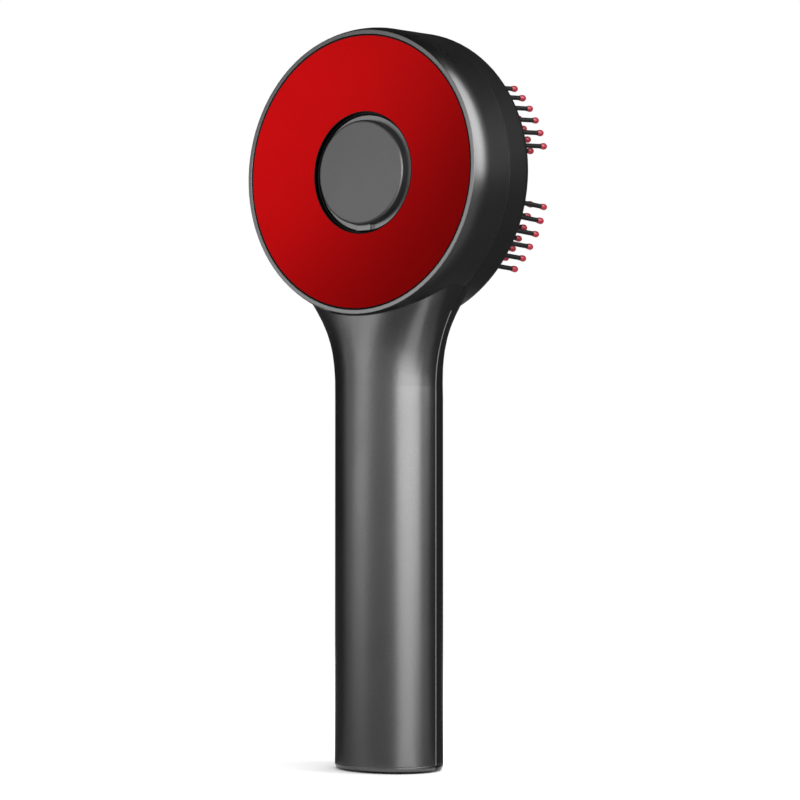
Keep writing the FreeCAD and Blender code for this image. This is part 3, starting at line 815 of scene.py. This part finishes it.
cards = {   # flat panels that face the object
    "fillCard": {"turn": -71.6, "elevation": 25.5, "roll": 56.0, "distance": 1.6,
                 "width": 0.68, "height": 1.88, "tone": 0.08},
}


def makeWorld():
    world = bpy.data.worlds.new("studioWorld")
    scene.world = world
    world.use_nodes = True
    tree = world.node_tree
    sky = tree.nodes["Background"]
    sky.inputs["Color"].default_value = (1.0, 1.0, 1.0, 1.0)
    path = addNode(tree, "ShaderNodeLightPath")
    cameraOrGloss = addNode(tree, "ShaderNodeMath", operation="MAXIMUM")
    tree.links.new(path.outputs["Is Camera Ray"], cameraOrGloss.inputs[0])
    tree.links.new(path.outputs["Is Glossy Ray"], cameraOrGloss.inputs[1])
    anySeen = addNode(tree, "ShaderNodeMath", operation="MAXIMUM")
    tree.links.new(cameraOrGloss.outputs[0], anySeen.inputs[0])
    tree.links.new(path.outputs["Is Transmission Ray"], anySeen.inputs[1])
    strength = addNode(tree, "ShaderNodeMapRange")
    setInputs(strength, To_Min=skyForDiffuse, To_Max=1.0)
    tree.links.new(anySeen.outputs[0], strength.inputs["Value"])
    tree.links.new(strength.outputs["Result"], sky.inputs["Strength"])


def stageMaterial(name, tone):
    material = bpy.data.materials.new(name)
    material.use_nodes = True
    shader = material.node_tree.nodes["Principled BSDF"]
    shader.inputs["Base Color"].default_value = tone
    for key, value in mattFinish.items():
        shader.inputs[key].default_value = value
    return material


def makeFloor(settings):
    bm = bmesh.new()
    bmesh.ops.create_circle(bm, cap_ends=True, segments=settings["sides"], radius=settings["radius"])
    floor = meshObject("paleFloor", bm)
    material = stageMaterial("paleFloor", settings["tone"])
    tree = material.node_tree
    coords = addNode(tree, "ShaderNodeTexCoord")
    reach = addNode(tree, "ShaderNodeVectorMath", operation="LENGTH")
    fade = addNode(tree, "ShaderNodeMapRange", interpolation_type="SMOOTHSTEP")
    setInputs(fade, From_Min=settings["fadeFrom"], From_Max=settings["fadeTo"], To_Min=1.0, To_Max=0.0)
    tree.links.new(coords.outputs["Object"], reach.inputs[0])
    tree.links.new(reach.outputs["Value"], fade.inputs["Value"])
    tree.links.new(fade.outputs["Result"], tree.nodes["Principled BSDF"].inputs["Alpha"])
    floor.data.materials.append(material)


def showInReflectionsOnly(flag, tone):
    flag.data.materials.append(stageMaterial(flag.name, (tone, tone, tone, 1.0)))
    flag.visible_camera = False
    flag.visible_diffuse = False
    flag.visible_shadow = False


def makeFlag(name, settings):
    bm = bmesh.new()
    start, end = settings["turns"]
    columns = []
    for i in range(flagSteps + 1):
        out = directionFrom(cameraSettings["azimuth"] + start + (end - start) * i / flagSteps, 0.0)
        corners = [out * radius + Vector((0.0, 0.0, z)) for radius, z in settings["edges"]]
        columns.append([bm.verts.new(corner) for corner in corners])
    for left, right in zip(columns, columns[1:]):
        bm.faces.new((left[0], right[0], right[1], left[1]))
    showInReflectionsOnly(meshObject(name, bm), settings["tone"])


def aimAtTarget(obj, settings):
    out = directionFrom(cameraSettings["azimuth"] + settings["turn"], settings["elevation"])
    roll = Quaternion((0.0, 0.0, 1.0), -math.radians(settings.get("roll", 0.0)))
    obj.location = lightTarget + out * settings["distance"]
    obj.rotation_euler = ((-out).to_track_quat("-Z", "Y") @ roll).to_euler()


def makeCard(name, settings):
    bm = bmesh.new()
    x, y = settings["width"] / 2, settings["height"] / 2
    bm.faces.new([bm.verts.new((a, b, 0.0)) for a, b in ((-x, -y), (-x, y), (x, y), (x, -y))])
    card = meshObject(name, bm)
    aimAtTarget(card, settings)
    showInReflectionsOnly(card, settings["tone"])


def makeSoftBox(name, settings):
    data = bpy.data.lights.new(name, "AREA")
    data.shape = "RECTANGLE"
    data.size, data.size_y = settings["width"], settings["height"]
    data.energy = settings["glow"] * math.pi * settings["width"] * settings["height"]
    lamp = bpy.data.objects.new(name, data)
    scene.collection.objects.link(lamp)
    lamp.visible_camera = False
    lamp.visible_glossy = settings.get("mirrored", True)
    aimAtTarget(lamp, settings)


makeWorld()
makeFloor(floorSettings)
for flagName, flagSettings in flags.items():
    makeFlag(flagName, flagSettings)
for cardName, cardSettings in cards.items():
    makeCard(cardName, cardSettings)
for boxName, boxSettings in softBoxes.items():
    makeSoftBox(boxName, boxSettings)
scene.view_settings.view_transform = "Standard"
print("studio lit")
